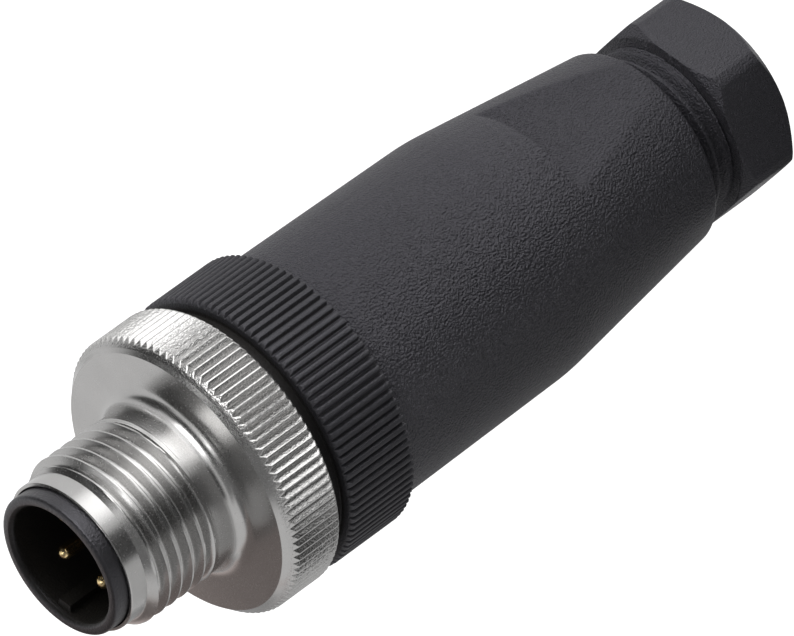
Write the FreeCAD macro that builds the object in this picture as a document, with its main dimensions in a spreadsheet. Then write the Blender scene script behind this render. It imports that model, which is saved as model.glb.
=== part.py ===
import FreeCAD, Part
import Sketcher
import math
import os
import re

# Straight four-pole cable connector with an M12 coupling screw, standing on its
# pressing screw with the mating face up. The origin is the centre of the rear
# face, +Z runs towards the mating face, and +X points at the coding rib.

# Driving dimensions: lengths and radii in millimetres, angles in degrees
SIZES = {
    # lengths along the axis, from the rear face up
    "head_length": 4.85,
    "thread_showing": 2.65,
    "sleeve_length": 30.0,
    "face_gap": 0.05,
    "grip_length": 5.75,
    "lip_length": 0.7,
    "ring_play": 0.06,
    "flange_length": 4.77,
    "neck_length": 9.07,
    "collar_proud": 1.1,
    # clearances
    "running_gap": 0.08,
    "thread_gap": 0.06,
    "push_gap": 0.03,
    "loose_gap": 0.1,
    # coupling screw
    "flange_radius": 10.0,
    "flange_front_bevel": 0.62,
    "flange_rear_bevel": 0.55,
    "coupling_teeth": 104,
    "coupling_groove_depth": 0.36,
    "coupling_land_share": 0.3,
    "knurl_stock": 0.3,
    "cove_radius": 1.0,
    "thread_radius": 5.95,
    "thread_bevel": 0.55,
    "land_radius": 5.32,
    "land_length": 1.3,
    "web_thickness": 1.0,
    # contact insert
    "collar_radius": 5.01,
    "collar_bevel": 0.18,
    "cavity_radius": 4.21,
    "cavity_depth": 8.6,
    "mouth_bevel": 0.2,
    "rib_width": 1.1,
    "rib_height": 0.55,
    "rib_setback": 0.55,
    "shoulder_radius": 7.4,
    "stem_radius": 6.2,
    "stem_length": 8.0,
    # retaining ring between the stem and the grip ring
    "retainer_inner_radius": 5.75,
    "retainer_outer_radius": 6.75,
    "retainer_thickness": 0.8,
    "retainer_depth": 2.4,
    "retainer_gap_angle": 36.0,
    # contact pins
    "pin_circle_radius": 2.4,
    "pin_radius": 0.5,
    "pin_tip_depth": 1.8,
    "pin_tip_radius": 0.22,
    "pin_tip_bevel": 0.4,
    "pin_shank_radius": 0.66,
    "barrel_radius": 1.4,
    "barrel_length": 8.6,
    "wire_hole_radius": 0.8,
    "wire_hole_depth": 7.0,
    # terminal block with its screws and pressure plates
    "block_length": 9.5,
    "block_bevel": 0.6,
    "terminal_screw_radius": 0.8,
    "terminal_screw_length": 3.0,
    "terminal_screw_height": 4.0,
    "screw_point_radius": 0.48,
    "screw_slot_width": 0.3,
    "screw_slot_depth": 0.45,
    "plate_thickness": 0.2,
    "plate_width": 0.7,
    "plate_length": 2.2,
    "plate_opening": 0.5,
    # grip ring
    "grip_step": 0.1,
    "grip_teeth": 102,
    "grip_groove_depth": 0.32,
    "grip_land_share": 0.52,
    "grip_front_bevel": 0.35,
    "grip_relief_radius": 9.35,
    "grip_relief_length": 0.25,
    "lip_radius": 8.9,
    "spigot_radius": 7.4,
    "spigot_length": 6.0,
    "spigot_bevel": 0.24,
    # sleeve
    "sleeve_front_radius": 9.05,
    "sleeve_knee_radius": 8.86,
    "sleeve_taper_length": 13.5,
    "sleeve_rear_radius": 7.08,
    "sleeve_front_bevel": 0.2,
    "sleeve_rear_bevel": 0.34,
    "wrench_flats": 14.1,
    "flats_length": 10.4,
    "spigot_margin": 0.53,
    "wire_room_radius": 6.75,
    "gasket_outer_radius": 8.2,
    "gasket_thickness": 1.0,
    "wire_bend_length": 2.2,
    "seal_seat_radius": 3.9,
    "seal_seat_thickness": 1.2,
    "seal_room_radius": 5.3,
    # pressing screw
    "head_flats": 13.05,
    "head_corner_radius": 7.34,
    "head_rear_bevel": 0.85,
    "head_rear_radius": 6.33,
    "head_front_bevel": 0.4,
    "head_front_radius": 6.62,
    "shank_radius": 5.95,
    "shank_length": 8.15,
    "cable_bore_radius": 3.4,
    "bore_edge_round": 0.6,
    "finger_room_radius": 4.75,
    "finger_room_depth": 4.6,
    "finger_cone_length": 1.5,
    # clamping cage and seal
    "cage_ring_length": 1.5,
    "cage_ring_radius": 5.18,
    "finger_length": 3.4,
    "finger_radius": 4.45,
    "finger_bevel_width": 0.3,
    "finger_bevel_length": 0.6,
    "finger_count": 8,
    "finger_slot_width": 0.8,
    "seal_play": 2.75,
    "seal_radius": 5.15,
    "seal_bore_radius": 2.5,
    "seal_bevel": 0.5,
}

# Heights and other sizes that follow from the driving dimensions
PLACES = {
    "sleeve_rear_z": "head_length + thread_showing",
    "sleeve_front_z": "sleeve_rear_z + sleeve_length",
    "grip_rear_z": "sleeve_front_z + face_gap",
    "grip_front_z": "grip_rear_z + grip_length",
    "lip_front_z": "grip_front_z + lip_length",
    "flange_rear_z": "lip_front_z + ring_play",
    "flange_front_z": "flange_rear_z + flange_length",
    "neck_front_z": "flange_front_z + neck_length",
    "mating_z": "neck_front_z + collar_proud",
    "step_z": "flange_front_z - web_thickness",
    "shoulder_front_z": "step_z - ring_play",
    "thread_front_z": "neck_front_z - land_length",
    "cavity_floor_z": "mating_z - cavity_depth",
    "stem_rear_z": "lip_front_z - stem_length",
    "pin_tip_z": "mating_z - pin_tip_depth",
    "block_rear_z": "stem_rear_z - block_length",
    "barrel_front_z": "stem_rear_z - push_gap",
    "barrel_rear_z": "barrel_front_z - barrel_length",
    "screw_z": "block_rear_z + terminal_screw_height",
    "retainer_front_z": "grip_front_z - retainer_depth",
    "retainer_rear_z": "retainer_front_z - retainer_thickness",
    "spigot_rear_z": "grip_rear_z - spigot_length",
    "knee_z": "sleeve_rear_z + sleeve_taper_length",
    "flats_z": "sleeve_rear_z + flats_length",
    "gasket_seat_z": "sleeve_front_z - gasket_thickness - face_gap",
    "spigot_room_z": "spigot_rear_z - spigot_margin",
    "seal_seat_front_z": "block_rear_z - wire_bend_length",
    "seal_seat_z": "seal_seat_front_z - seal_seat_thickness",
    "shank_front_z": "head_length + shank_length",
    "seal_room_rear_z": "shank_front_z + thread_showing + loose_gap",
    "finger_room_z": "shank_front_z - finger_room_depth",
    "cage_z": "shank_front_z + face_gap",
    "cage_front_z": "cage_z + cage_ring_length",
    "seal_front_z": "seal_seat_z - seal_play",
    "grip_radius": "flange_radius - grip_step",
    "counter_radius": "shoulder_radius + running_gap",
    "collar_bore_radius": "collar_radius + running_gap",
    "grip_bore_radius": "stem_radius + push_gap",
    "spigot_bore_radius": "spigot_radius + thread_gap",
    "shank_bore_radius": "shank_radius + thread_gap",
    "gasket_bore_radius": "spigot_radius + loose_gap",
    "gasket_seat_radius": "gasket_outer_radius + push_gap",
    "retainer_groove_radius": "retainer_inner_radius - push_gap",
    "retainer_seat_radius": "retainer_outer_radius + push_gap",
    "plate_x": "pin_circle_radius + plate_opening",
    "screw_tip_x": "plate_x + plate_thickness + push_gap",
}

POLES = 4
FIRST_POLE_ANGLE = 45.0
BEYOND = 2.0

# The two ends of a line in a sketch
START = 1
END = 2

doc = FreeCAD.newDocument("cable_connector")
sheet = doc.addObject("Spreadsheet::Sheet", "sheet")
for row, (alias, number) in enumerate(SIZES.items(), start=1):
    sheet.set("A%d" % row, alias.replace("_", " "))
    sheet.set("B%d" % row, str(number))
    sheet.setAlias("B%d" % row, alias)
doc.recompute()


def bind(text):
    """A formula with its places written out and its sizes taken from the sheet"""
    def word(match):
        name = match.group(0)
        if name in PLACES:
            return "(" + bind(PLACES[name]) + ")"
        if name in SIZES:
            return "sheet." + name
        return name
    return re.sub(r"[a-z]+(_[a-z]+)+", word, text)


def value(text):
    """The number that a formula gives now"""
    return float(sheet.evalExpression(bind(text)))


def new_body(name):
    body = doc.addObject("PartDesign::Body", name)
    body.Label = name
    return body


def new_sketch(body, name, role="XZ_Plane"):
    """A sketch on one of the body's own origin planes"""
    plane = next(item for item in body.Origin.OriginFeatures if item.Role == role)
    sketch = body.newObject("Sketcher::SketchObject", name)
    sketch.AttachmentSupport = [(plane, "")]
    sketch.MapMode = "FlatFace"
    return sketch


def pin_point(sketch, line, end, across, along):
    """Ties one end of a line to two formulas, measured from the sketch's origin"""
    for kind, axis, text in (("DistanceX", -2, across), ("DistanceY", -1, along)):
        if text == "0":
            sketch.addConstraint(Sketcher.Constraint("PointOnObject", line, end, axis))
            continue
        limit = Sketcher.Constraint(kind, -1, 1, line, end, value(text))
        index = sketch.addConstraint(limit)
        sketch.setExpression("Constraints[%d]" % index, bind(text))


def draw_outline(sketch, corners):
    """A closed outline. A corner is (across, along), and one that a quarter round
    leads to is (across, along, radius, side), with side 1 for a centre on the left."""
    points = []
    for corner in corners:
        points.append(FreeCAD.Vector(value(corner[0]), value(corner[1]), 0))
    count = len(points)
    first = sketch.GeometryCount
    for index in range(count):
        start = points[index]
        corner = corners[(index + 1) % count]
        finish = points[(index + 1) % count]
        if len(corner) == 2:
            sketch.addGeometry(Part.LineSegment(start, finish), False)
            continue
        radius = value(corner[2])
        chord = finish - start
        normal = FreeCAD.Vector(-chord.y, chord.x, 0).normalize()
        rise = math.sqrt(max(radius ** 2 - (chord.Length / 2) ** 2, 0))
        centre = (start + finish) * 0.5 + normal * rise * corner[3]
        middle = centre - normal * radius * corner[3]
        sketch.addGeometry(Part.Arc(start, middle, finish), False)
    for index in range(count):
        line = first + index
        after = first + (index + 1) % count
        ends = [END, START]
        for slot, geometry in enumerate((line, after)):
            # an arc runs anticlockwise, so one with its centre on the right is stored reversed
            corner = corners[(geometry - first + 1) % count]
            if len(corner) == 4 and corner[3] < 0:
                ends[slot] = START + END - ends[slot]
        sketch.addConstraint(Sketcher.Constraint("Coincident", line, ends[0], after, ends[1]))
        corner = corners[(index + 1) % count]
        if len(corner) == 4:
            limit = Sketcher.Constraint("Radius", line, value(corner[2]))
            at = sketch.addConstraint(limit)
            sketch.setExpression("Constraints[%d]" % at, bind(corner[2]))
        pin_point(sketch, line, ends[0], corner[0], corner[1])


def turned(body, corners, name="turned", angle=360.0):
    """Turns an outline about the axis and adds it to the body"""
    sketch = new_sketch(body, body.Name + "_" + name + "_outline")
    draw_outline(sketch, corners)
    feature = body.newObject("PartDesign::Revolution", body.Name + "_" + name)
    feature.Profile = sketch
    feature.ReferenceAxis = (sketch, ["V_Axis"])
    feature.Angle = angle
    sketch.Visibility = False
    doc.recompute()
    return feature


def bored(body, corners, name):
    """Turns an outline about the axis and takes it out of the body"""
    sketch = new_sketch(body, body.Name + "_" + name + "_outline")
    draw_outline(sketch, corners)
    before = body.Shape.Volume
    feature = body.newObject("PartDesign::Groove", body.Name + "_" + name)
    feature.Profile = sketch
    feature.ReferenceAxis = (sketch, ["V_Axis"])
    feature.Angle = 360.0
    doc.recompute()
    must_shrink(body, before, name)
    return feature


def must_shrink(body, before, name):
    if body.Shape.Volume > before - 1e-6:
        raise RuntimeError("%s cut nothing from %s" % (name, body.Name))


def cut_across(body, corners, name, role="XZ_Plane"):
    """Takes an outline out of the body, all the way through on both sides of its plane"""
    sketch = new_sketch(body, body.Name + "_" + name + "_outline", role)
    draw_outline(sketch, corners)
    before = body.Shape.Volume
    feature = body.newObject("PartDesign::Pocket", body.Name + "_" + name)
    feature.Profile = sketch
    feature.SideType = "Symmetric"
    feature.Type = "Length"
    feature.setExpression("Length", bind("flange_radius * 6"))
    doc.recompute()
    must_shrink(body, before, name)
    return feature


def around(body, features, count, name):
    """Repeats features evenly about the axis"""
    axis = next(item for item in body.Origin.OriginFeatures if item.Role == "Z_Axis")
    pattern = body.newObject("PartDesign::PolarPattern", body.Name + "_" + name)
    pattern.Originals = features
    pattern.Axis = (axis, [""])
    pattern.Angle = 360.0
    if isinstance(count, str):
        pattern.setExpression("Occurrences", bind(count))
    else:
        pattern.Occurrences = count
    body.Tip = pattern
    doc.recompute()
    return pattern


def axial_hole(body, radius, low, high, name):
    """A round hole along the axis at the pin circle, on the +X side"""
    sketch = new_sketch(body, body.Name + "_" + name + "_outline")
    left = "pin_circle_radius - (%s)" % radius
    draw_outline(sketch, [("pin_circle_radius", low), ("pin_circle_radius", high), (left, high), (left, low)])
    before = body.Shape.Volume
    feature = body.newObject("PartDesign::Groove", body.Name + "_" + name)
    feature.Profile = sketch
    feature.ReferenceAxis = (sketch, ["Edge1"])
    feature.Angle = 360.0
    doc.recompute()
    must_shrink(body, before, name)
    return feature


def tooth_cutter(name, teeth, crest, depth, land, low, high):
    """A ring with a toothed inside, which leaves straight knurling on what it cuts"""
    count = int(round(value(teeth)))
    top = value(crest)
    root = top - value(depth)
    step = 2 * math.pi / count
    half_land = step * value(land) / 2
    corners = []
    for index in range(count):
        angle = index * step
        for radius, turn in ((top, angle - half_land), (top, angle + half_land), (root, angle + step / 2)):
            corners.append(FreeCAD.Vector(radius * math.cos(turn), radius * math.sin(turn), value(low)))
    inside = Part.makePolygon(corners + [corners[0]])
    outside = Part.Wire(Part.makeCircle(top + BEYOND, FreeCAD.Vector(0, 0, value(low))))
    face = Part.makeFace([outside, inside], "Part::FaceMakerBullseye")
    cutter = doc.addObject("Part::Feature", name)
    cutter.Shape = face.extrude(FreeCAD.Vector(0, 0, value(high) - value(low)))
    return cutter


def knurled(name, blank, cutter):
    ring = doc.addObject("Part::Cut", name)
    ring.Label = name
    ring.Base = blank
    ring.Tool = cutter
    ring.Refine = False
    doc.recompute()
    return ring


def make_coupling_screw():
    """Nickel-plated ring: M12 thread, plain neck, cove and knurled flange"""
    blank = new_body("coupling_screw_blank")
    stock = "flange_radius + knurl_stock"
    turned(blank, [
        ("counter_radius", "flange_rear_z"),
        ("flange_radius - flange_rear_bevel", "flange_rear_z"),
        (stock, "flange_rear_z + flange_rear_bevel + knurl_stock"),
        (stock, "flange_front_z - flange_front_bevel - knurl_stock"),
        ("flange_radius - flange_front_bevel", "flange_front_z"),
        ("thread_radius + cove_radius", "flange_front_z"),
        ("thread_radius", "flange_front_z + cove_radius", "cove_radius", -1),
        ("thread_radius", "thread_front_z - thread_bevel"),
        ("land_radius", "thread_front_z"),
        ("land_radius", "neck_front_z"),
        ("collar_bore_radius", "neck_front_z"),
        ("collar_bore_radius", "step_z"),
        ("counter_radius", "step_z"),
    ])
    cutter = tooth_cutter("coupling_screw_cutter", "coupling_teeth", "flange_radius",
                          "coupling_groove_depth", "coupling_land_share",
                          "flange_rear_z - ring_play / 2", "flange_front_z + ring_play / 2")
    return knurled("coupling_screw", blank, cutter)


def make_contact_insert():
    """Plastic insert: collar round the cavity, coding rib, shoulder and stem"""
    body = new_body("contact_insert")
    turned(body, [
        ("0", "stem_rear_z"),
        ("stem_radius", "stem_rear_z"),
        ("stem_radius", "lip_front_z"),
        ("shoulder_radius", "lip_front_z"),
        ("shoulder_radius", "shoulder_front_z"),
        ("collar_radius", "shoulder_front_z"),
        ("collar_radius", "mating_z - collar_bevel"),
        ("collar_radius - collar_bevel", "mating_z"),
        ("cavity_radius + mouth_bevel", "mating_z"),
        ("cavity_radius", "mating_z - mouth_bevel"),
        ("cavity_radius", "cavity_floor_z"),
        ("0", "cavity_floor_z"),
    ])
    bored(body, [
        ("retainer_groove_radius", "retainer_rear_z - push_gap"),
        ("stem_radius + loose_gap", "retainer_rear_z - push_gap"),
        ("stem_radius + loose_gap", "retainer_front_z + push_gap"),
        ("retainer_groove_radius", "retainer_front_z + push_gap"),
    ], "retainer_groove")
    add_coding_rib(body)
    hole = axial_hole(body, "pin_shank_radius + push_gap", "stem_rear_z - loose_gap",
                      "cavity_floor_z + loose_gap", "pin_hole")
    around(body, [hole], POLES, "pin_holes")
    return turn_by(body, FIRST_POLE_ANGLE)


def add_coding_rib(body):
    """A rib along the cavity wall, midway between two pins"""
    sketch = new_sketch(body, "coding_rib_outline", "XY_Plane")
    inner = "cavity_radius - rib_height"
    outer = "(cavity_radius + collar_radius) / 2"
    turn = "%g deg" % FIRST_POLE_ANGLE
    corners = []
    for reach, side in ((inner, "-1"), (outer, "-1"), (outer, "1"), (inner, "1")):
        # the rib is drawn a half pitch back, because the finished insert is turned by it
        corners.append(("(%s) * cos(%s) + %s * rib_width / 2 * sin(%s)" % (reach, turn, side, turn),
                        "%s * rib_width / 2 * cos(%s) - (%s) * sin(%s)" % (side, turn, reach, turn)))
    draw_outline(sketch, corners)
    sketch.setExpression("AttachmentOffset.Base.z", bind("cavity_floor_z - loose_gap"))
    rib = body.newObject("PartDesign::Pad", "coding_rib")
    rib.Profile = sketch
    rib.setExpression("Length", bind("cavity_depth + loose_gap - rib_setback"))
    doc.recompute()


def turn_by(thing, degrees):
    thing.Placement = FreeCAD.Placement(FreeCAD.Vector(0, 0, 0), FreeCAD.Rotation(FreeCAD.Vector(0, 0, 1), degrees))
    doc.recompute()
    return thing


def make_retaining_ring():
    """Open spring ring that locks the grip ring to the insert's stem"""
    body = new_body("retaining_ring")
    turned(body, [
        ("retainer_inner_radius", "retainer_rear_z"),
        ("retainer_outer_radius", "retainer_rear_z"),
        ("retainer_outer_radius", "retainer_front_z"),
        ("retainer_inner_radius", "retainer_front_z"),
    ])
    body.Tip.setExpression("Angle", bind("360 - retainer_gap_angle"))
    doc.recompute()
    return body


def make_grip_ring():
    """Plastic ring with straight knurling, a front lip and a threaded spigot"""
    blank = new_body("grip_ring_blank")
    stock = "grip_radius + knurl_stock"
    turned(blank, [
        ("grip_bore_radius", "spigot_rear_z"),
        ("spigot_radius - spigot_bevel", "spigot_rear_z"),
        ("spigot_radius", "spigot_rear_z + spigot_bevel"),
        ("spigot_radius", "grip_rear_z"),
        ("grip_relief_radius", "grip_rear_z"),
        ("grip_relief_radius", "grip_rear_z + grip_relief_length"),
        (stock, "grip_rear_z + grip_relief_length"),
        (stock, "grip_front_z - grip_front_bevel - knurl_stock"),
        ("grip_radius - grip_front_bevel", "grip_front_z"),
        ("lip_radius", "grip_front_z"),
        ("lip_radius", "lip_front_z"),
        ("grip_bore_radius", "lip_front_z"),
    ])
    bored(blank, [
        ("grip_bore_radius - loose_gap", "retainer_rear_z - push_gap"),
        ("retainer_seat_radius", "retainer_rear_z - push_gap"),
        ("retainer_seat_radius", "retainer_front_z + push_gap"),
        ("grip_bore_radius - loose_gap", "retainer_front_z + push_gap"),
    ], "retainer_groove")
    cutter = tooth_cutter("grip_ring_cutter", "grip_teeth", "grip_radius", "grip_groove_depth",
                          "grip_land_share", "grip_rear_z + grip_relief_length / 2",
                          "grip_front_z + lip_length / 4")
    return knurled("grip_ring", blank, cutter)


def make_terminal_block():
    """Plastic block that holds the four screw terminals behind the insert"""
    body = new_body("terminal_block")
    turned(body, [
        ("0", "block_rear_z"),
        ("stem_radius - block_bevel", "block_rear_z"),
        ("stem_radius", "block_rear_z + block_bevel"),
        ("stem_radius", "stem_rear_z"),
        ("0", "stem_rear_z"),
    ])
    room = axial_hole(body, "barrel_radius + push_gap", "block_rear_z - loose_gap",
                      "stem_rear_z + loose_gap", "barrel_room")
    access = radial_hole(body, "terminal_screw_radius + running_gap", "pin_circle_radius",
                         "stem_radius + loose_gap", "screw_hole")
    around(body, [room, access], POLES, "terminals")
    return turn_by(body, FIRST_POLE_ANGLE)


def radial_hole(body, radius, near, far, name):
    """A round hole square to the axis at the height of the terminal screws, along +X"""
    sketch = new_sketch(body, body.Name + "_" + name + "_outline")
    top = "screw_z + (%s)" % radius
    draw_outline(sketch, [(near, "screw_z"), (far, "screw_z"), (far, top), (near, top)])
    before = body.Shape.Volume
    feature = body.newObject("PartDesign::Groove", body.Name + "_" + name)
    feature.Profile = sketch
    feature.ReferenceAxis = (sketch, ["Edge1"])
    feature.Angle = 360.0
    doc.recompute()
    must_shrink(body, before, name)
    return feature


def pole_angle(index):
    return FIRST_POLE_ANGLE + index * 360.0 / POLES


def make_contact_pin(index):
    """Gold-plated pin: bevelled tip, thicker shank in the insert, and a terminal barrel at the rear"""
    body = new_body("contact_pin_%d" % (index + 1))
    sketch_corners = [
        ("pin_circle_radius", "barrel_rear_z"),
        ("pin_circle_radius + barrel_radius", "barrel_rear_z"),
        ("pin_circle_radius + barrel_radius", "barrel_front_z"),
        ("pin_circle_radius + pin_shank_radius", "barrel_front_z"),
        ("pin_circle_radius + pin_shank_radius", "cavity_floor_z - push_gap"),
        ("pin_circle_radius + pin_radius", "cavity_floor_z - push_gap"),
        ("pin_circle_radius + pin_radius", "pin_tip_z - pin_tip_bevel"),
        ("pin_circle_radius + pin_tip_radius", "pin_tip_z"),
        ("pin_circle_radius", "pin_tip_z"),
    ]
    sketch = new_sketch(body, body.Name + "_outline")
    draw_outline(sketch, sketch_corners)
    pin = body.newObject("PartDesign::Revolution", body.Name + "_turned")
    pin.Profile = sketch
    pin.ReferenceAxis = (sketch, ["Edge%d" % len(sketch_corners)])
    pin.Angle = 360.0
    doc.recompute()
    axial_hole(body, "wire_hole_radius", "barrel_rear_z - loose_gap", "barrel_rear_z + wire_hole_depth", "wire_hole")
    radial_hole(body, "terminal_screw_radius + running_gap", "pin_circle_radius",
                "pin_circle_radius + barrel_radius + loose_gap", "screw_hole")
    return turn_by(body, pole_angle(index))


def make_terminal_screw(index):
    """Slotted set screw that closes one terminal from the side"""
    body = new_body("terminal_screw_%d" % (index + 1))
    sketch = new_sketch(body, body.Name + "_outline")
    draw_outline(sketch, [
        ("screw_tip_x", "screw_z"),
        ("screw_tip_x + terminal_screw_length", "screw_z"),
        ("screw_tip_x + terminal_screw_length", "screw_z + terminal_screw_radius"),
        ("screw_tip_x + terminal_screw_radius - screw_point_radius", "screw_z + terminal_screw_radius"),
        ("screw_tip_x", "screw_z + screw_point_radius"),
    ])
    screw = body.newObject("PartDesign::Revolution", body.Name + "_turned")
    screw.Profile = sketch
    screw.ReferenceAxis = (sketch, ["Edge1"])
    screw.Angle = 360.0
    doc.recompute()
    end = "screw_tip_x + terminal_screw_length"
    cut_across(body, [
        ("%s - screw_slot_depth" % end, "screw_z - screw_slot_width / 2"),
        ("%s + loose_gap" % end, "screw_z - screw_slot_width / 2"),
        ("%s + loose_gap" % end, "screw_z + screw_slot_width / 2"),
        ("%s - screw_slot_depth" % end, "screw_z + screw_slot_width / 2"),
    ], "slot")
    return turn_by(body, pole_angle(index))


def make_pressure_plate(index):
    """Small plate between a terminal screw and the wire"""
    name = "pressure_plate_%d" % (index + 1)
    plate = doc.addObject("Part::Box", name)
    plate.Label = name
    plate.setExpression("Length", bind("plate_thickness"))
    plate.setExpression("Width", bind("plate_width"))
    plate.setExpression("Height", bind("plate_length"))
    angle = "%g deg" % pole_angle(index)
    plate.Placement.Rotation = FreeCAD.Rotation(FreeCAD.Vector(0, 0, 1), pole_angle(index))
    plate.setExpression("Placement.Base.x", bind("plate_x * cos(%s) + plate_width / 2 * sin(%s)" % (angle, angle)))
    plate.setExpression("Placement.Base.y", bind("plate_x * sin(%s) - plate_width / 2 * cos(%s)" % (angle, angle)))
    plate.setExpression("Placement.Base.z", bind("screw_z - plate_length / 2"))
    doc.recompute()
    return plate


def make_sleeve():
    """Plastic housing: slight draft, tapered rear with two wrench flats"""
    body = new_body("sleeve")
    turned(body, [
        ("shank_bore_radius", "sleeve_rear_z"),
        ("sleeve_rear_radius - sleeve_rear_bevel", "sleeve_rear_z"),
        ("sleeve_rear_radius", "sleeve_rear_z + sleeve_rear_bevel"),
        ("sleeve_knee_radius", "knee_z"),
        ("sleeve_front_radius", "sleeve_front_z - sleeve_front_bevel"),
        ("sleeve_front_radius - sleeve_front_bevel", "sleeve_front_z"),
        ("gasket_seat_radius", "sleeve_front_z"),
        ("gasket_seat_radius", "gasket_seat_z"),
        ("spigot_bore_radius", "gasket_seat_z"),
        ("spigot_bore_radius", "spigot_room_z"),
        ("wire_room_radius", "spigot_room_z"),
        ("wire_room_radius", "seal_seat_front_z + wire_room_radius - seal_seat_radius"),
        ("seal_seat_radius", "seal_seat_front_z"),
        ("seal_seat_radius", "seal_seat_z"),
        ("seal_room_radius", "seal_seat_z"),
        ("seal_room_radius", "seal_room_rear_z"),
        ("shank_bore_radius", "seal_room_rear_z"),
    ])
    flat = cut_across(body, [
        ("wrench_flats / 2", "sleeve_rear_z - sleeve_rear_bevel"),
        ("sleeve_knee_radius * 1.5", "sleeve_rear_z - sleeve_rear_bevel"),
        ("sleeve_knee_radius * 1.5", "flats_z"),
        ("wrench_flats / 2", "flats_z"),
    ], "flat")
    around(body, [flat], 2, "flats")
    return body


def make_sleeve_gasket():
    """Flat ring that seals the sleeve against the grip ring"""
    body = new_body("sleeve_gasket")
    turned(body, [
        ("gasket_bore_radius", "gasket_seat_z + push_gap"),
        ("gasket_outer_radius", "gasket_seat_z + push_gap"),
        ("gasket_outer_radius", "gasket_seat_z + gasket_thickness"),
        ("gasket_bore_radius", "gasket_seat_z + gasket_thickness"),
    ])
    return body


def make_pressing_screw():
    """Hollow hexagon-head screw that closes the cable gland"""
    body = new_body("pressing_screw")
    turned(body, [
        ("cable_bore_radius", "bore_edge_round"),
        ("cable_bore_radius + bore_edge_round", "0"),
        ("head_rear_radius", "0"),
        ("head_corner_radius", "head_rear_bevel"),
        ("head_corner_radius", "head_length - head_front_bevel"),
        ("head_front_radius", "head_length"),
        ("shank_radius", "head_length"),
        ("shank_radius", "shank_front_z - thread_bevel"),
        ("shank_radius - thread_bevel", "shank_front_z"),
        ("finger_room_radius", "shank_front_z"),
        ("finger_room_radius", "finger_room_z"),
        ("cable_bore_radius", "finger_room_z - finger_cone_length"),
    ])
    sketch = new_sketch(body, "head_flats_outline", "XY_Plane")
    corners = []
    for index in range(6):
        turn = "%g deg" % (30 + 60 * index)
        reach = "head_flats / 2 / cos(30 deg)"
        corners.append(("%s * cos(%s)" % (reach, turn), "%s * sin(%s)" % (reach, turn)))
    draw_outline(sketch, corners)
    rim = sketch.addGeometry(Part.Circle(FreeCAD.Vector(), FreeCAD.Vector(0, 0, 1), value("head_corner_radius * 1.5")))
    sketch.addConstraint(Sketcher.Constraint("Coincident", rim, 3, -1, 1))
    at = sketch.addConstraint(Sketcher.Constraint("Radius", rim, value("head_corner_radius * 1.5")))
    sketch.setExpression("Constraints[%d]" % at, bind("head_corner_radius * 1.5"))
    before = body.Shape.Volume
    flats = body.newObject("PartDesign::Pocket", "head_flats_cut")
    flats.Profile = sketch
    flats.Reversed = True
    flats.setExpression("Length", bind("head_length"))
    doc.recompute()
    must_shrink(body, before, "head flats")
    return body


def make_clamping_cage():
    """Ring with fingers that the pressing screw closes round the cable"""
    body = new_body("clamping_cage")
    turned(body, [
        ("cable_bore_radius", "cage_z - finger_length"),
        ("finger_radius - finger_bevel_width", "cage_z - finger_length"),
        ("finger_radius", "cage_z - finger_length + finger_bevel_length"),
        ("finger_radius", "cage_z"),
        ("cage_ring_radius", "cage_z"),
        ("cage_ring_radius", "cage_front_z"),
        ("cable_bore_radius", "cage_front_z"),
    ])
    sketch = new_sketch(body, "finger_slot_outline")
    draw_outline(sketch, [
        ("0 - finger_slot_width / 2", "cage_z - finger_length - loose_gap"),
        ("finger_slot_width / 2", "cage_z - finger_length - loose_gap"),
        ("finger_slot_width / 2", "cage_z + cage_ring_length / 4"),
        ("0 - finger_slot_width / 2", "cage_z + cage_ring_length / 4"),
    ])
    before = body.Shape.Volume
    slot = body.newObject("PartDesign::Pocket", "finger_slot")
    slot.Profile = sketch
    slot.setExpression("Length", bind("cage_ring_radius * 2"))
    doc.recompute()
    must_shrink(body, before, "finger slot")
    around(body, [slot], "finger_count", "finger_slots")
    return body


def make_cable_seal():
    """Rubber seal that the clamping cage squeezes onto the cable"""
    body = new_body("cable_seal")
    turned(body, [
        ("seal_bore_radius", "cage_front_z"),
        ("seal_radius", "cage_front_z"),
        ("seal_radius", "seal_front_z - seal_bevel"),
        ("seal_radius - seal_bevel", "seal_front_z"),
        ("seal_bore_radius + seal_bevel", "seal_front_z"),
        ("seal_bore_radius", "seal_front_z - seal_bevel"),
    ])
    return body


def make_all():
    pieces = [
        make_coupling_screw(),
        make_contact_insert(),
        make_retaining_ring(),
        make_grip_ring(),
        make_terminal_block(),
        make_sleeve_gasket(),
        make_sleeve(),
        make_cable_seal(),
        make_clamping_cage(),
        make_pressing_screw(),
    ]
    for index in range(POLES):
        pieces.append(make_contact_pin(index))
        pieces.append(make_pressure_plate(index))
        pieces.append(make_terminal_screw(index))
    return pieces


def check(pieces):
    doc.recompute()
    for thing in doc.Objects:
        if "Invalid" in thing.State or "Error" in thing.State:
            raise RuntimeError("%s failed: %s" % (thing.Name, thing.State))
    for piece in pieces:
        if piece.Shape.isNull() or not piece.Shape.isValid():
            raise RuntimeError("%s has no sound shape" % piece.Label)


pieces = make_all()
check(pieces)
os.makedirs("parts", exist_ok=True)
for piece in pieces:
    piece.Shape.exportStep("parts/%s.step" % piece.Label)
    print("%s volume %.2f mm3, solids %d, faces %d" % (
        piece.Label, piece.Shape.Volume, len(piece.Shape.Solids), len(piece.Shape.Faces)))
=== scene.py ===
import math

import bmesh
import bpy
from mathutils import Matrix, Vector


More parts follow.
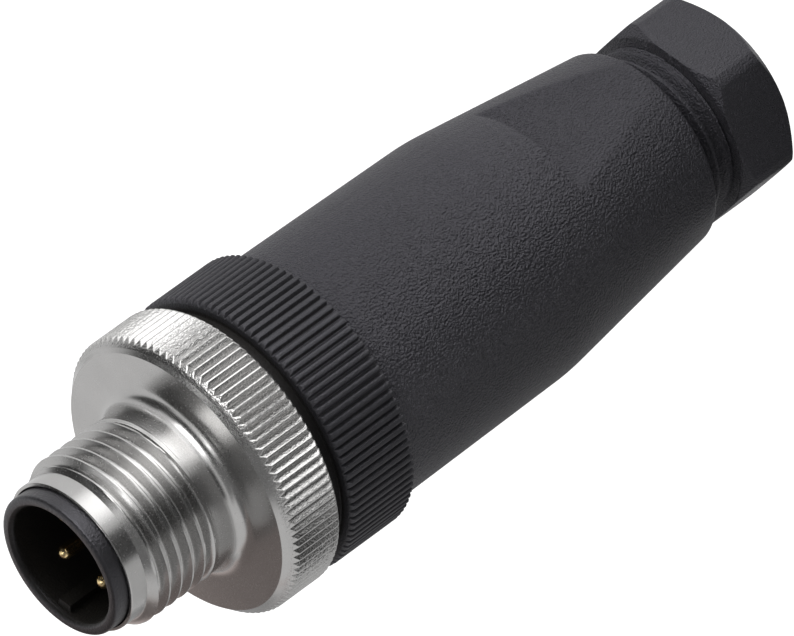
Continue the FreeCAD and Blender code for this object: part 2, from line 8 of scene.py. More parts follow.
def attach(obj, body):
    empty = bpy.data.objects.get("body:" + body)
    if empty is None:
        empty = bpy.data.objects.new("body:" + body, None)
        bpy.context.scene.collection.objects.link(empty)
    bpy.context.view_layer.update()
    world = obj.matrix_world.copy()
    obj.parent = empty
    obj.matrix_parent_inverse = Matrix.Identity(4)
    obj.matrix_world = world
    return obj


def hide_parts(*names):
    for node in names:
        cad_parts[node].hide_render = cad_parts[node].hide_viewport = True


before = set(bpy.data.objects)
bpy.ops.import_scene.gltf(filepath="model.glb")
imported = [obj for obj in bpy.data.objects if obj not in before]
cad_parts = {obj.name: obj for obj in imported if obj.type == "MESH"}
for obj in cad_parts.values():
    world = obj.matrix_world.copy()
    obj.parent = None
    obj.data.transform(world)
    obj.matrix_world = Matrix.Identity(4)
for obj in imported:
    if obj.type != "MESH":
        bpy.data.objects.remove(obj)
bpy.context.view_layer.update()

# The connector stands on its pressing screw: heights run up from there to the mating face.
# Every length and radius below is in millimetres until a mesh is made.
MM = 0.001
TURN = 2 * math.pi
PITCH = 1.0

MATING = 59.0
NECK_FRONT = 57.9
PIN_TIP = 57.2
THREAD_FRONT = 56.6
THREAD_REAR = 50.95
FLANGE_FRONT = 48.83
FLANGE_REAR = 44.06
STEP = 47.83
CAVITY_FLOOR = 50.4
SHOULDER_FRONT = 47.77
LIP_FRONT = 44.0
GRIP_FRONT = 43.3
GRIP_REAR = 37.55
SPIGOT_THREAD_FRONT = 36.6
GASKET_SEAT = 36.45
STEM_REAR = 36.0
SPIGOT_REAR = 31.55
SLEEVE_FRONT = 37.5
SLEEVE_REAR = 7.5
HEAD_FRONT = 4.85
SHANK_FRONT = 13.0
FLOOR_LEVEL = -10.5

NECK_RADIUS = 5.86
CREST_RADIUS = 5.95
COLLAR_FIT_RADIUS = 5.09
LAND_RADIUS = 5.32
SHOULDER_FIT_RADIUS = 7.48
METAL_TIP_RADIUS = 10.0
METAL_GROOVE_DEPTH = 0.27
METAL_TEETH = 104
METAL_STATIONS = (-0.5, -0.47, -0.37, -0.27, -0.17, -0.07, 0.07, 0.17, 0.27, 0.37, 0.47)
BLACK_TIP_RADIUS = 9.9
BLACK_GROOVE_DEPTH = 0.32
BLACK_TEETH = 102
BLACK_STATIONS = (-0.5, -0.43, -0.36, -0.30, -0.24, -0.14, 0.0, 0.14, 0.24, 0.30, 0.36, 0.43)
SPIGOT_RADIUS = 7.4
LIP_RADIUS = 8.9
STEM_RADIUS = 6.2
COLLAR_RADIUS = 5.01
CAVITY_RADIUS = 4.21
RIB_INNER_RADIUS = 3.66
RIB_HALF_WIDTH = 0.55
PIN_CIRCLE = 2.4
PIN_RADIUS = 0.5
PIN_SHANK_RADIUS = 0.66
HEAD_HALF_FLATS = 6.535
HEAD_CORNER_RADIUS = 7.34
CABLE_BORE_RADIUS = 3.4
TOUCHING = 1e-9


# Mesh building

class Shell:
    """A closed surface made of rings of points about the axis, each joined to the one before."""

    def __init__(self):
        self.points = []
        self.faces = []
        self.rings = []

    def add(self, ring):
        start = len(self.points)
        self.points.extend(ring)
        this = list(range(start, start + len(ring)))
        if self.rings:
            self.join(self.rings[-1], this)
        self.rings.append(this)
        return this

    def join(self, low, high):
        if len(low) == len(high):
            count = len(low)
            for i in range(count):
                j = (i + 1) % count
                self.faces.append((low[i], low[j], high[j], high[i]))
        elif len(low) > len(high):
            self.fan(low, high, False)
        else:
            self.fan(high, low, True)

    def fan(self, fine, coarse, flip):
        """Joins a fine ring to a coarse one, a whole number of fine points to each coarse one."""
        share = len(fine) // len(coarse)
        half = share // 2
        for i in range(len(coarse)):
            near = coarse[i]
            after = coarse[(i + 1) % len(coarse)]
            for k in range(share):
                a = fine[i * share + k]
                b = fine[(i * share + k + 1) % len(fine)]
                tip = near if k < half else after
                self.faces.append((b, a, tip) if flip else (a, b, tip))
            middle = fine[(i * share + half) % len(fine)]
            self.faces.append((near, middle, after) if flip else (middle, near, after)[::-1])

    def helix(self, low, high, count, steps, radius):
        """A thread between two heights. Its rows follow the helix, so crests and roots stay crisp."""
        first = self.add([polar(radius(low, 0.0), TURN * s / count, low) for s in range(count)])
        total = steps + int(math.ceil((high - low) / PITCH * steps))
        rows = [first]
        for i in range(1, total):
            row = []
            for s in range(count):
                angle = TURN * s / count
                z = low - PITCH + (i / steps + s / count) * PITCH
                z = min(max(z, low), high)
                row.append(polar(radius(z, (i / steps) % 1.0), angle, z))
            start = len(self.points)
            self.points.extend(row)
            rows.append(list(range(start, start + count)))
        start = len(self.points)
        self.points.extend(polar(radius(high, 0.0), TURN * s / count, high) for s in range(count))
        rows.append(list(range(start, start + count)))
        last = len(rows) - 1
        for i in range(last):
            for s in range(count):
                if s + 1 < count:
                    self.faces.append((rows[i][s], rows[i][s + 1], rows[i + 1][s + 1], rows[i + 1][s]))
                else:
                    a = rows[min(i + steps, last)][0]
                    b = rows[min(i + 1 + steps, last)][0]
                    self.faces.append((rows[i][s], a, b, rows[i + 1][s]))
        self.rings.append(rows[-1])

    def close(self):
        self.join(self.rings[-1], self.rings[0])

    def cap(self, ring, up):
        """Closes a ring with triangles to its centre."""
        z = self.points[ring[0]][2]
        centre = len(self.points)
        x = sum(self.points[i][0] for i in ring) / len(ring)
        y = sum(self.points[i][1] for i in ring) / len(ring)
        self.points.append((x, y, z))
        count = len(ring)
        for i in range(count):
            a, b = ring[i], ring[(i + 1) % count]
            self.faces.append((a, b, centre) if up else (b, a, centre))

    def piece(self, name, body, nodes, material, sharp=32.0):
        mesh = bpy.data.meshes.new(name)
        mesh.from_pydata([(x * MM, y * MM, z * MM) for x, y, z in self.points], [], self.faces)
        work = bmesh.new()
        work.from_mesh(mesh)
        bmesh.ops.remove_doubles(work, verts=work.verts, dist=2e-7)
        bmesh.ops.dissolve_degenerate(work, edges=work.edges, dist=1e-8)
        bmesh.ops.recalc_face_normals(work, faces=work.faces)
        limit = math.radians(sharp)
        for edge in work.edges:
            if len(edge.link_faces) == 2 and edge.calc_face_angle(0.0) > limit:
                edge.smooth = False
        for face in work.faces:
            face.smooth = True
        work.to_mesh(mesh)
        work.free()
        mesh.materials.append(material)
        thing = bpy.data.objects.new(name, mesh)
        bpy.context.scene.collection.objects.link(thing)
        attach(thing, body)
        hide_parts(*nodes)


def polar(radius, angle, z, x=0.0, y=0.0):
    return (x + radius * math.cos(angle), y + radius * math.sin(angle), z)


def ring(radius, z, count, x=0.0, y=0.0):
    return [polar(radius, TURN * i / count, z, x, y) for i in range(count)]


def rounded(r0, z0, r1, z1, steps, centre):
    """A quarter round from (r0, z0) to (r1, z1) about a centre, without its first point."""
    a0 = math.atan2(z0 - centre[1], r0 - centre[0])
    a1 = math.atan2(z1 - centre[1], r1 - centre[0])
    if a1 - a0 > math.pi:
        a1 -= TURN
    if a0 - a1 > math.pi:
        a1 += TURN
    reach = math.hypot(r0 - centre[0], z0 - centre[1])
    points = []
    for i in range(1, steps + 1):
        a = a0 + (a1 - a0) * i / steps
        points.append((centre[0] + reach * math.cos(a), centre[1] + reach * math.sin(a)))
    return points


def smooth(x):
    x = min(max(x, 0.0), 1.0)
    return x * x * (3 - 2 * x)


def soft_min(a, b, k):
    """The smaller of two, with a rounded corner about k wide where they meet."""
    h = max(k - abs(a - b), 0.0) / k
    return min(a, b) - h * h * k * 0.25


def along(table, z):
    """Straight-line reading of a table of (z, r)."""
    for (z0, r0), (z1, r1) in zip(table, table[1:]):
        if z <= z1:
            return r0 + (r1 - r0) * (z - z0) / (z1 - z0)
    return table[-1][1]


def steps_between(a, b, count):
    return [a + (b - a) * i / count for i in range(count + 1)]


# Thread and knurl forms

def thread_depth(phase, crest=0.10, root=0.20):
    """0 on the crest and 1 in the root of a 60 degree thread, over one pitch"""
    t = abs(((phase + 0.5) % 1.0) - 0.5) * 2
    return min(max((t - crest) / (1.0 - root - crest), 0.0), 1.0)


def burr(z):
    """A repeatable unevenness along a crest, from 0 to 1"""
    return 0.5 + 0.5 * math.sin(z * 977.0) * math.sin(z * 1531.0)


def tooth_angles(count, stations):
    """Angles of the points round a toothed ring: the same stations on every tooth."""
    step = TURN / count
    return [(i + t) * step for i in range(count) for t in stations]


def metal_tooth(angle):
    """Height lost below the tips, in shares of the groove's depth: a square V between narrow lands"""
    land = 0.14
    t = abs(((angle * METAL_TEETH / TURN + 0.5) % 1.0) - 0.5) * 2
    return max(t - land, 0.0) / (1.0 - land)


def black_tooth(angle):
    """The same for the moulded ridges: a slightly crowned land and a rounded groove"""
    land = 0.45
    crown = 0.12
    t = abs(((angle * BLACK_TEETH / TURN + 0.5) % 1.0) - 0.5) * 2
    return crown * min(t / land, 1.0) ** 2 + (1.0 - crown) * smooth((t - land) / land)


# Materials

def node_tree(name):
    material = bpy.data.materials.new(name)
    material.use_nodes = True
    tree = material.node_tree
    shader = tree.nodes["Principled BSDF"]
    coords = tree.nodes.new("ShaderNodeTexCoord")
    return material, tree, shader, coords


def noise(tree, vector, scale, detail=2.0, rough=0.5):
    node = tree.nodes.new("ShaderNodeTexNoise")
    node.inputs["Scale"].default_value = scale
    node.inputs["Detail"].default_value = detail
    node.inputs["Roughness"].default_value = rough
    tree.links.new(vector, node.inputs["Vector"])
    return node.outputs["Fac"]


def ramp(tree, value, low, high, a, b):
    """Maps a value from low..high to a..b"""
    node = tree.nodes.new("ShaderNodeMapRange")
    node.inputs["From Min"].default_value = low
    node.inputs["From Max"].default_value = high
    node.inputs["To Min"].default_value = a
    node.inputs["To Max"].default_value = b
    tree.links.new(value, node.inputs["Value"])
    return node.outputs["Result"]


def blend_colour(tree, factor, dark, light):
    node = tree.nodes.new("ShaderNodeMix")
    node.data_type = "RGBA"
    for socket, colour in (("A", dark), ("B", light)):
        if isinstance(colour, tuple):
            node.inputs[socket].default_value = (*colour, 1)
        else:
            tree.links.new(colour, node.inputs[socket])
    tree.links.new(factor, node.inputs["Factor"])
    return node.outputs["Result"]


def bump(tree, shader, height, distance, strength=1.0, under=None):
    node = tree.nodes.new("ShaderNodeBump")
    node.inputs["Strength"].default_value = strength
    node.inputs["Distance"].default_value = distance
    tree.links.new(height, node.inputs["Height"])
    if under is not None:
        tree.links.new(under, node.inputs["Normal"])
    tree.links.new(node.outputs["Normal"], shader.inputs["Normal"])
    return node.outputs["Normal"]


def maths(tree, operation, a, b=None):
    node = tree.nodes.new("ShaderNodeMath")
    node.operation = operation
    for socket, value in zip(node.inputs, (a, b)):
        if isinstance(value, (int, float)):
            socket.default_value = value
        elif value is not None:
            tree.links.new(value, socket)
    return node.outputs["Value"]


def around_axis(tree, coords):
    """Distance from the connector's axis, and height along it"""
    split = tree.nodes.new("ShaderNodeSeparateXYZ")
    tree.links.new(coords.outputs["Object"], split.inputs["Vector"])
    x = maths(tree, "POWER", split.outputs["X"], 2.0)
    y = maths(tree, "POWER", split.outputs["Y"], 2.0)
    return maths(tree, "SQRT", maths(tree, "ADD", x, y)), split.outputs["Z"]


def plated(name, light, dark, rough, lines=1.0, grain=0.0):
    """Plated metal: cloudy finish, faint turning lines and a grain on the knurl"""
    material, tree, shader, coords = node_tree(name)
    shader.inputs["Metallic"].default_value = 1.0
    cloud = noise(tree, coords.outputs["Object"], 420.0, 3.0)
    colour = blend_colour(tree, ramp(tree, cloud, 0.35, 0.65, 0, 1), dark, light)
    tree.links.new(colour, shader.inputs["Base Color"])
    fine = noise(tree, coords.outputs["Object"], 7500.0, 2.0)
    tree.links.new(ramp(tree, fine, 0.3, 0.7, rough * 0.85, rough * 1.15), shader.inputs["Roughness"])
    across, height = around_axis(tree, coords)
    lines_per_metre = 6000.0
    join = tree.nodes.new("ShaderNodeCombineXYZ")
    tree.links.new(maths(tree, "MULTIPLY", across, lines_per_metre), join.inputs["X"])
    tree.links.new(maths(tree, "MULTIPLY", height, lines_per_metre), join.inputs["Y"])
    normal = bump(tree, shader, noise(tree, join.outputs["Vector"], 1.0, 2.0), 1.5e-6 * lines, 0.6)
    if grain:
        knurl = ramp(tree, across, 0.0095, 0.0097, 0.0, 1.0)
        raised = maths(tree, "MULTIPLY", fine, knurl)
        bump(tree, shader, raised, grain, 1.0, normal)
    return material


def moulded(name, light, dark, rough, grain_size, grain_depth, specular=0.5, shade_painted_within=None):
    """Black plastic with the pebbled texture of an eroded mould, with painted shade inside a radius: a
    darker colour and less specular there
    """
    material, tree, shader, coords = node_tree(name)
    shader.inputs["Specular IOR Level"].default_value = specular
    shader.inputs["Specular Tint"].default_value = (0.93, 0.91, 1.0, 1)
    pebble = noise(tree, coords.outputs["Object"], 1.0 / grain_size, 2.0, 0.5)
    cloud = noise(tree, coords.outputs["Object"], 90.0, 2.0)
    colour = blend_colour(tree, ramp(tree, cloud, 0.3, 0.7, 0, 1), dark, light)
    # Painted shade: within the radius the colour turns darker and warmer and the specular lower. This stands
    # for the shade in the insert's cavity and in the gap at the grip ring's lip.
    if shade_painted_within:
        across = around_axis(tree, coords)[0]
        outside_painted_shade = ramp(tree, across, shade_painted_within - 0.0001, shade_painted_within + 0.0001, 0.0, 1.0)
        colour = blend_colour(tree, outside_painted_shade, (0.0100, 0.0093, 0.0082), colour)
        tree.links.new(ramp(tree, outside_painted_shade, 0.0, 1.0, 0.2, specular), shader.inputs["Specular IOR Level"])
    tree.links.new(colour, shader.inputs["Base Color"])
    tree.links.new(ramp(tree, pebble, 0.3, 0.7, rough * 1.1, rough * 0.9), shader.inputs["Roughness"])
    bump(tree, shader, pebble, grain_depth, 1.0)
    return material


nickel = plated("nickel_plate", (0.405, 0.401, 0.396), (0.385, 0.381, 0.376), 0.24, 1.0, 4.0e-5)
gold = plated("gold_plate", (0.80, 0.62, 0.34), (0.72, 0.55, 0.28), 0.22, 0.5)
steel = plated("bright_steel", (0.60, 0.60, 0.61), (0.52, 0.52, 0.53), 0.30, 1.0)
sleeve_plastic = moulded("sleeve_plastic", (0.0185, 0.0178, 0.0225), (0.0160, 0.0155, 0.0195),
                         0.38, 0.00016, 3.4e-4)
# Shade is painted within 9.2 mm of the axis: the lip in the gap under the metal ring is darker and duller.
grip_plastic = moulded("grip_plastic", (0.015, 0.015, 0.017), (0.013, 0.013, 0.0145),
                       0.52, 0.00012, 6.0e-5, 0.5, 0.0092)
screw_plastic = moulded("screw_plastic", (0.024, 0.0235, 0.028), (0.021, 0.0205, 0.024),
                        0.42, 0.00013, 1.6e-4)
# Shade is painted within 4.4 mm of the axis: the cavity is darker and duller.
insert_plastic = moulded("insert_plastic", (0.012, 0.0118, 0.0125), (0.010, 0.0098, 0.0105),
                         0.38, 0.00015, 4.0e-5, 0.5, 0.0044)
cage_plastic = moulded("cage_plastic", (0.060, 0.060, 0.064), (0.050, 0.050, 0.053),
                       0.40, 0.00030, 1.0e-5)
seal_rubber = moulded("seal_rubber", (0.025, 0.025, 0.025), (0.019, 0.019, 0.019),
                      0.70, 0.00035, 1.5e-5, 0.3)


def coupling_thread(z, phase):
    """Radius of the front thread, with its chamfer and its run-out"""
    depth = 0.61 * smooth((z - THREAD_REAR) / 0.8)
    crest = along([(THREAD_REAR, NECK_RADIUS), (THREAD_REAR + 0.5, CREST_RADIUS),
                   (THREAD_FRONT, CREST_RADIUS)], z)
    r = crest - depth * thread_depth(phase)
    if phase < 0.01:
        r -= 0.03 * burr(z)
    if z <= THREAD_REAR + TOUCHING:
        return NECK_RADIUS
    if z >= THREAD_FRONT - TOUCHING:
        return LAND_RADIUS
    return soft_min(r, LAND_RADIUS + (THREAD_FRONT - z) * 1.15, 0.03)


def add_toothed(shell, profile, angles, tips, groove, tooth):
    """Rings of teeth that run out into the ends of a profile of (z, r)"""
    for z, r in profile:
        shell.add([polar(soft_min(tips - groove * tooth(angle), r, 0.03), angle, z) for angle in angles])


def make_coupling_screw():
    shell = Shell()
    coarse = METAL_TEETH
    for r, z in ((SHOULDER_FIT_RADIUS, STEP), (SHOULDER_FIT_RADIUS, FLANGE_REAR + 0.15),
                 (7.63, FLANGE_REAR)):
        shell.add(ring(r, z, coarse))
    profile = [(FLANGE_REAR, 9.25), (FLANGE_REAR + 0.04, 9.36)]
    for i in range(1, 11):
        profile.append((FLANGE_REAR + 0.04 + 0.6 * i / 10, 9.36 + 0.64 * math.sin(math.pi / 2 * i / 10)))
    profile += [(FLANGE_REAR + 1.6, METAL_TIP_RADIUS), (FLANGE_REAR + 2.8, METAL_TIP_RADIUS)]
    for i in range(21):
        profile.append((48.02 + 0.81 * i / 20, METAL_TIP_RADIUS - 0.73 * (i / 20)))
    shell.add(ring(8.9, FLANGE_REAR, coarse))
    angles = tooth_angles(METAL_TEETH, METAL_STATIONS)
    add_toothed(shell, profile, angles, METAL_TIP_RADIUS, METAL_GROOVE_DEPTH, metal_tooth)
    cove_radius = 1.04
    cove_end = NECK_RADIUS + cove_radius
    for r in (9.2, 8.0, 7.2, cove_end):
        shell.add(ring(r, FLANGE_FRONT, coarse))
    centre = (cove_end, FLANGE_FRONT + cove_radius)
    for r, z in rounded(cove_end, FLANGE_FRONT, NECK_RADIUS, FLANGE_FRONT + cove_radius, 10, centre):
        shell.add(ring(r, z, coarse))
    shell.add(ring(NECK_RADIUS, THREAD_REAR - 0.1, coarse))
    shell.helix(THREAD_REAR, THREAD_FRONT, coarse, 16, coupling_thread)
    for r, z in ((LAND_RADIUS, THREAD_FRONT + 0.04), (LAND_RADIUS, NECK_FRONT - 0.06),
                 (5.29, NECK_FRONT - 0.02), (5.26, NECK_FRONT), (5.12, NECK_FRONT),
                 (COLLAR_FIT_RADIUS, NECK_FRONT - 0.03), (COLLAR_FIT_RADIUS, STEP)):
        shell.add(ring(r, z, coarse))
    shell.close()
    shell.piece("coupling_screw_turned", "coupling_screw", ["coupling_screw"], nickel)


def spigot_thread(z, phase):
    """Radius of the thread that the sleeve screws onto, fading out at both ends"""
    if z <= SPIGOT_REAR + TOUCHING or z >= SPIGOT_THREAD_FRONT - TOUCHING:
        return SPIGOT_RADIUS
    fade = smooth((z - SPIGOT_REAR) / 0.5) * smooth((SPIGOT_THREAD_FRONT - z) / 0.5)
    return SPIGOT_RADIUS - 0.55 * fade * thread_depth(phase)


def make_grip_ring():
    shell = Shell()
    coarse = BLACK_TEETH
    for r, z in ((6.23, LIP_FRONT), (6.23, SPIGOT_REAR), (7.2, SPIGOT_REAR), (SPIGOT_RADIUS, SPIGOT_REAR)):
        shell.add(ring(r, z, coarse))
    shell.helix(SPIGOT_REAR, SPIGOT_THREAD_FRONT, coarse, 12, spigot_thread)
    for r, z in ((SPIGOT_RADIUS, GRIP_REAR), (9.25, GRIP_REAR), (9.33, GRIP_REAR + 0.04),
                 (9.33, GRIP_REAR + 0.24)):
        shell.add(ring(r, z, coarse))
    front_round = 0.42
    profile = [(GRIP_REAR + 0.25, 9.36), (GRIP_REAR + 0.27, 9.84)]
    for rise in (0.32, 2.0, 4.0):
        profile.append((GRIP_REAR + rise, BLACK_TIP_RADIUS))
    for i in range(13):
        a = math.pi / 2 * i / 12
        z = GRIP_FRONT - front_round + front_round * math.sin(a)
        profile.append((z, BLACK_TIP_RADIUS - front_round * (1 - math.cos(a))))
    angles = tooth_angles(BLACK_TEETH, BLACK_STATIONS)
    add_toothed(shell, profile, angles, BLACK_TIP_RADIUS, BLACK_GROOVE_DEPTH, black_tooth)
    for r, z in ((9.3, GRIP_FRONT), (LIP_RADIUS + 0.05, GRIP_FRONT), (LIP_RADIUS, GRIP_FRONT + 0.04),
                 (LIP_RADIUS, LIP_FRONT - 0.05), (LIP_RADIUS - 0.05, LIP_FRONT)):
        shell.add(ring(r, z, coarse))
    shell.close()
    shell.piece("grip_ring_moulded", "insert", ["grip_ring"], grip_plastic)


SLEEVE_KNEE = 21.54
KNEE_RADIUS = 8.889
TAPER = 0.129
DRAFT = 0.0121
REAR_ROUND = 0.4
FRONT_ROUND = 0.2
FLAT = 7.05
FLATS_END = 17.9


def sleeve_radius(z):
    """A taper and a slight draft that meet in a soft knee, with rounded ends"""
    taper = KNEE_RADIUS + (z - SLEEVE_KNEE) * TAPER
    draft = KNEE_RADIUS + (z - SLEEVE_KNEE) * DRAFT
    r = soft_min(taper, draft, 0.12)
    rear = min(max((SLEEVE_REAR + REAR_ROUND - z) / REAR_ROUND, 0.0), 1.0)
    front = min(max((z - SLEEVE_FRONT + FRONT_ROUND) / FRONT_ROUND, 0.0), 1.0)
    return r - 0.34 * (1 - math.sqrt(1 - rear ** 2)) - 0.1 * (1 - math.sqrt(1 - front ** 2))


def make_sleeve():
    shell = Shell()

    def outside(z, r, flats, wide):
        """A ring of the outside, with more points near the edges of the two wrench flats"""
        half = max(math.acos(min(FLAT / max(wide, FLAT + 1e-6), 1.0)), 0.05)
        edge = min(0.045, half * 0.45)
        local = [-half - edge, -half - edge * 0.5, -half]
        local += [(-1 + 2 * i / 10) * (half - edge * 0.5) for i in range(11)]
        local += [half, half + edge * 0.5, half + edge]
        gap = math.pi - 2 * (half + edge)
        count = 48
        rest = [half + edge + gap * i / count for i in range(1, count)]
        row = []
        for side in (0.0, math.pi):
            for t in local + rest:
                a = t + side
                reach = r
                if flats and abs(t) < math.pi / 3:
                    reach = soft_min(r, FLAT / math.cos(t), 0.10)
                row.append(polar(reach, a, z))
        return row

    def dense(low, high, gap):
        return steps_between(low, high, max(1, int(math.ceil((high - low) / gap))))

    top = sleeve_radius(FLATS_END)
    ends = [SLEEVE_REAR + REAR_ROUND * (1 - math.cos(math.pi / 2 * i / 8)) for i in range(8)]
    for z in ends + dense(SLEEVE_REAR + REAR_ROUND, FLATS_END - 0.03, 0.5):
        shell.add(outside(z, sleeve_radius(z), True, sleeve_radius(z)))
    shell.add(outside(FLATS_END, top, True, top))
    shell.add(outside(FLATS_END, top, False, top))
    for z in dense(FLATS_END + 0.15, 23.0, 0.2) + dense(23.8, SLEEVE_FRONT - FRONT_ROUND, 0.8):
        shell.add(outside(z, sleeve_radius(z), False, top))
    for i in range(1, 6):
        z = SLEEVE_FRONT - FRONT_ROUND * math.cos(math.pi / 2 * i / 5)
        shell.add(outside(z, sleeve_radius(z), False, top))
    count = len(shell.rings[-1])
    for r, z in ((8.23, SLEEVE_FRONT), (8.23, GASKET_SEAT), (7.46, GASKET_SEAT), (7.46, 31.02),
                 (6.75, 31.02), (6.75, 27.15), (3.9, 24.3), (3.9, 23.1), (5.3, 23.1), (5.3, 15.75),
                 (6.01, 15.75), (6.01, SLEEVE_REAR + 0.1), (6.11, SLEEVE_REAR)):
        shell.add(ring(r, z, count))
    shell.close()
    shell.piece("sleeve_moulded", "sleeve", ["sleeve"], sleeve_plastic, 40.0)


def shank_thread(z, phase):
    """Radius of the pressing screw's thread, with its start at the head and its front bevel"""
    if z <= HEAD_FRONT + 0.1 + TOUCHING:
        return 5.5
    if z >= SHANK_FRONT - TOUCHING:
        return 5.4
    r = CREST_RADIUS - 0.6 * smooth((z - 5.0) / 0.35) * thread_depth(phase, 0.16)
    return min(r, 5.4 + SHANK_FRONT - z)


def make_pressing_screw():
    shell = Shell()

    def head(z, corner):
        """A ring of the hexagon head: six flats, cut at the corners by a round of radius corner"""
        half = max(math.acos(min(HEAD_HALF_FLATS / max(corner, HEAD_HALF_FLATS + 1e-6), 1.0)), 0.03)
        edge = min(0.03, half * 0.3)
        local = [-half - edge, -half - edge * 0.5, -half]
        local += [(-1 + 2 * i / 8) * (half - edge * 0.5) for i in range(9)]
        local += [half, half + edge * 0.5, half + edge]
        gap = math.pi / 3 - 2 * (half + edge)
        local += [half + edge + gap * i / 8 for i in range(1, 8)]
        row = []
        for side in range(6):
            for t in local:
                flat = HEAD_HALF_FLATS / math.cos(t)
                beside = HEAD_HALF_FLATS / math.cos(math.pi / 3 - t)
                reach = soft_min(corner, min(flat, beside), 0.05)
                row.append(polar(reach, t + side * math.pi / 3, z))
        return row

    count = len(head(1.0, HEAD_CORNER_RADIUS))
    for r, z in ((4.0, 0.0), (6.2, 0.0), (6.29, 0.01)):
        shell.add(ring(r, z, count))
    for z in steps_between(0.03, 0.92, 18):
        shell.add(head(z, min(6.33 + (z - 0.03) * 1.18, HEAD_CORNER_RADIUS)))
    for z in (1.2, 2.6, 4.0, 4.35):
        shell.add(head(z, HEAD_CORNER_RADIUS))
    for z in steps_between(4.4, HEAD_FRONT - 0.03, 10):
        shell.add(head(z, HEAD_CORNER_RADIUS - (z - 4.4) * 1.6))
    shell.add(ring(6.5, HEAD_FRONT, count))
    shell.add(ring(5.6, HEAD_FRONT, count))
    shell.add(ring(5.5, HEAD_FRONT + 0.05, count))
    shell.helix(HEAD_FRONT + 0.1, SHANK_FRONT, count, 14, shank_thread)
    for r, z in ((4.75, SHANK_FRONT), (4.75, 8.4), (CABLE_BORE_RADIUS, 6.9), (CABLE_BORE_RADIUS, 0.6),
                 (3.43, 0.45), (3.52, 0.25), (3.7, 0.08)):
        shell.add(ring(r, z, count))
    shell.close()
    shell.piece("pressing_screw_moulded", "pressing_screw", ["pressing_screw"],
                screw_plastic, 30.0)


def make_insert():
    shell = Shell()
    count = 144
    front_round = 0.25
    shell.add(ring(0.4, STEM_REAR, count))
    shell.cap(shell.rings[0], False)
    for r, z in ((STEM_RADIUS - 0.1, STEM_REAR), (STEM_RADIUS, STEM_REAR + 0.1), (STEM_RADIUS, 40.07),
                 (5.72, 40.07), (5.72, 40.93), (STEM_RADIUS, 40.93), (STEM_RADIUS, LIP_FRONT),
                 (7.4, LIP_FRONT), (7.4, SHOULDER_FRONT), (COLLAR_RADIUS + 0.05, SHOULDER_FRONT),
                 (COLLAR_RADIUS, SHOULDER_FRONT + 0.05), (COLLAR_RADIUS, MATING - front_round)):
        shell.add(ring(r, z, count))
    rim = COLLAR_RADIUS - front_round
    for r, z in rounded(COLLAR_RADIUS, MATING - front_round, rim, MATING, 6, (rim, MATING - front_round)):
        shell.add(ring(r, z, count))
    for r, z in ((4.47, MATING), (4.41, MATING - 0.015), (4.25, MATING - 0.17),
                 (CAVITY_RADIUS, MATING - 0.24)):
        shell.add(ring(r, z, count))

    def ribbed(z):
        """A ring of the cavity's wall with the coding rib in it"""
        row = []
        edge = math.asin(RIB_HALF_WIDTH / CAVITY_RADIUS)
        for i in range(count):
            a = TURN * i / count
            t = (a + math.pi) % TURN - math.pi
            if abs(t) <= edge * 1.12:
                y = RIB_HALF_WIDTH * max(-1.0, min(1.0, t / (edge * 0.78)))
                x = math.sqrt(CAVITY_RADIUS ** 2 - y * y) if abs(t) > edge * 0.98 else RIB_INNER_RADIUS
                row.append((x, y, z))
            else:
                row.append(polar(CAVITY_RADIUS, a, z))
        return row

    shell.add(ring(CAVITY_RADIUS, MATING - 0.5, count))
    shell.add(ribbed(MATING - 0.55))
    shell.add(ribbed(CAVITY_FLOOR))
    shell.add(ring(3.3, CAVITY_FLOOR, count))
    shell.cap(shell.rings[-1], True)
    shell.piece("contact_insert_moulded", "insert", ["contact_insert"], insert_plastic)


def make_pin(index):
    shell = Shell()
    angle = math.radians(45 + 90 * index)
    x, y = PIN_CIRCLE * math.cos(angle), PIN_CIRCLE * math.sin(angle)
    count = 48
    profile = [(0.8, 34.37), (0.8, 27.45), (0.9, 27.37), (1.3, 27.37), (1.4, 27.47), (1.4, 35.97),
               (PIN_SHANK_RADIUS, 35.97), (PIN_SHANK_RADIUS, 50.37), (PIN_RADIUS, 50.37),
               (PIN_RADIUS, PIN_TIP - PIN_RADIUS)]
    profile += rounded(PIN_RADIUS, PIN_TIP - PIN_RADIUS, 0.1, PIN_TIP, 10, (0.0, PIN_TIP - PIN_RADIUS))
    first = shell.add(ring(0.3, 34.37, count, x, y))
    shell.cap(first, True)
    for r, z in profile:
        shell.add(ring(r, z, count, x, y))
    shell.cap(shell.rings[-1], True)
    name = "contact_pin_%d" % (index + 1)
    shell.piece(name + "_turned", "insert", [name], gold)


make_coupling_screw()
make_grip_ring()
make_sleeve()
make_pressing_screw()
make_insert()
for pole in range(4):
    make_pin(pole)

KEPT = {"retaining_ring": steel, "terminal_block": insert_plastic, "sleeve_gasket": seal_rubber,
        "cable_seal": seal_rubber, "clamping_cage": cage_plastic}
for pole in range(1, 5):
    KEPT["terminal_screw_%d" % pole] = steel
    KEPT["pressure_plate_%d" % pole] = steel
for node, material in KEPT.items():
    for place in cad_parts[node].material_slots:
        place.material = material


# The camera, measured from the round edges in the image
FOCAL_PIXELS = 12567.6
IMAGE_WIDTH = 794
IMAGE_HEIGHT = 636
DEPTH = 772.64
FACE_PIXEL = (58.593, 566.868)
AXIS = Vector((0.70073, -0.50649, 0.50243))
NEAR_SIDE = Vector((0.40702, -0.29458, -0.86462))
NEAR_ANGLE = math.radians(147.1)


